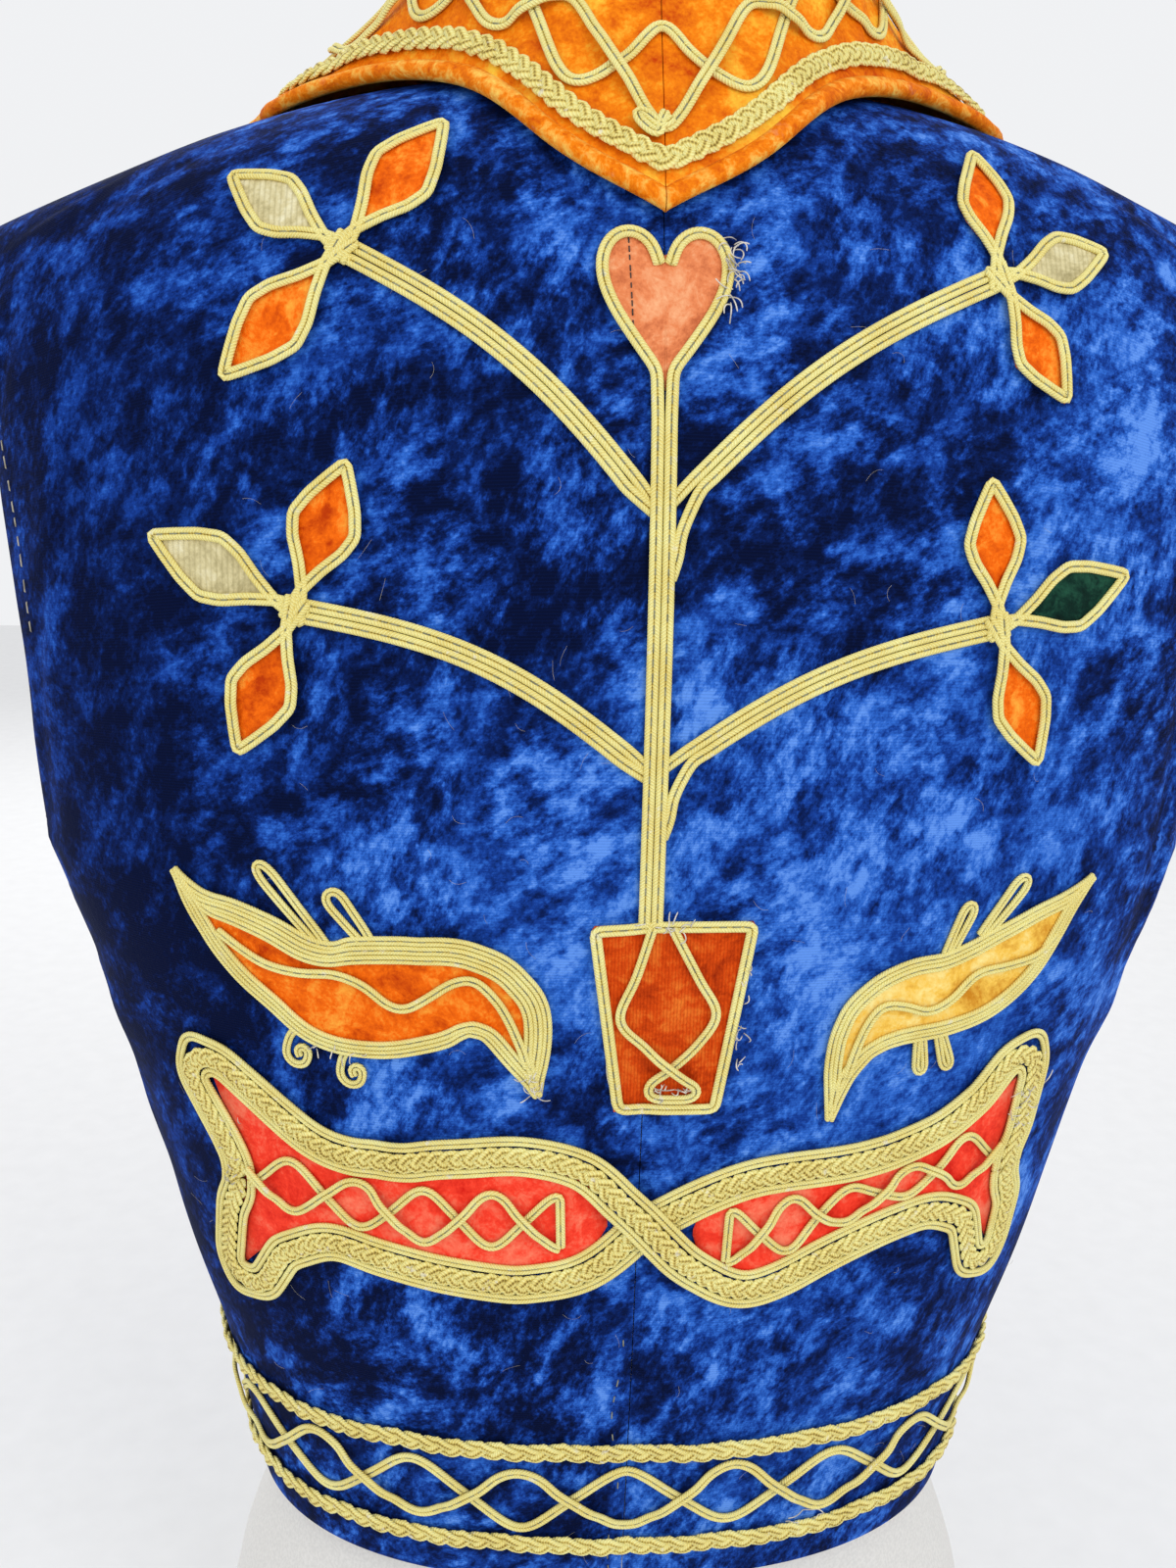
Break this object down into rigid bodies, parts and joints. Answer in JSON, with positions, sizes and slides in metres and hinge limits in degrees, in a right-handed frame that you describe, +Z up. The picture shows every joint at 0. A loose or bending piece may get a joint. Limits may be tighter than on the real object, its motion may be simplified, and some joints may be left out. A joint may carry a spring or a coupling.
{
  "type": "embroidered vest on a dress form",
  "caption": "Sleeveless folk vest of crushed velvet with a shawl collar and raised cord work of a potted tree, birds and fish, on a limbless dress form.",
  "frame": {"origin": "middle of the bounding box, at the flat base of the form on the floor", "axes": "+X towards the wearer's left, -Y out of the front, +Y out of the back with the main cord work, +Z up"},
  "size_m": [0.4076, 0.251, 0.693],
  "materials": {
    "blue_velvet": "crushed velvet",
    "orange_velvet": "crushed velvet",
    "gold_cord": "ribbed flat cord",
    "ivory_velvet": "worn velvet",
    "green_velvet": "velvet",
    "salmon_velvet": "worn velvet",
    "pot_velvet": "ribbed velvet",
    "yellow_velvet": "velvet",
    "red_velvet": "velvet",
    "peach_lining": "plain cotton",
    "form_cover": "plain cotton cover"
  },
  "bodies": {
    "root": {"back_left": "blue_velvet", "back_right": "blue_velvet", "bird_left": "orange_velvet", "bird_left_crest_1": "gold_cord", "bird_left_crest_2": "gold_cord", "bird_left_foot_1": "gold_cord", "bird_left_foot_2": "gold_cord", "bird_left_wave": "gold_cord", "bird_right": "yellow_velvet", "bird_right_crest_1": "gold_cord", "bird_right_crest_2": "gold_cord", "bird_right_foot_1": "gold_cord", "bird_right_foot_2": "gold_cord", "bird_right_wave": "gold_cord", "branch_lower_left": "gold_cord", "branch_lower_right": "gold_cord", "branch_upper_left": "gold_cord", "branch_upper_right": "gold_cord", "collar_binding_left": "orange_velvet", "collar_binding_right": "orange_velvet", "collar_cord_over": "gold_cord", "collar_cord_under": "gold_cord", "collar_left": "orange_velvet", "collar_plait": "gold_cord", "collar_right": "orange_velvet", "dress_form": "form_cover", "fish_border_over": "gold_cord", "fish_border_under": "gold_cord", "fish_cord_left_over": "gold_cord", "fish_cord_left_under": "gold_cord", "fish_cord_right_over": "gold_cord", "fish_cord_right_under": "gold_cord", "fish_field_left": "red_velvet", "fish_field_right": "red_velvet", "front_left": "blue_velvet", "front_lining_left": "peach_lining", "front_lining_right": "peach_lining", "front_right": "blue_velvet", "heart": "salmon_velvet", "hem_cord_over": "gold_cord", "hem_cord_under": "gold_cord", "hem_plait_lower": "gold_cord", "hem_plait_upper": "gold_cord", "leaf_lower_left_lower": "orange_velvet", "leaf_lower_left_outer": "ivory_velvet", "leaf_lower_left_upper": "orange_velvet", "leaf_lower_right_lower": "orange_velvet", "leaf_lower_right_outer": "green_velvet", "leaf_lower_right_upper": "orange_velvet", "leaf_upper_left_lower": "orange_velvet", "leaf_upper_left_outer": "ivory_velvet", "leaf_upper_left_upper": "orange_velvet", "leaf_upper_right_lower": "orange_velvet", "leaf_upper_right_outer": "ivory_velvet", "leaf_upper_right_upper": "orange_velvet", "pot": "pot_velvet", "pot_cord": "gold_cord", "stem": "gold_cord"}
  },
  "joints": []
}
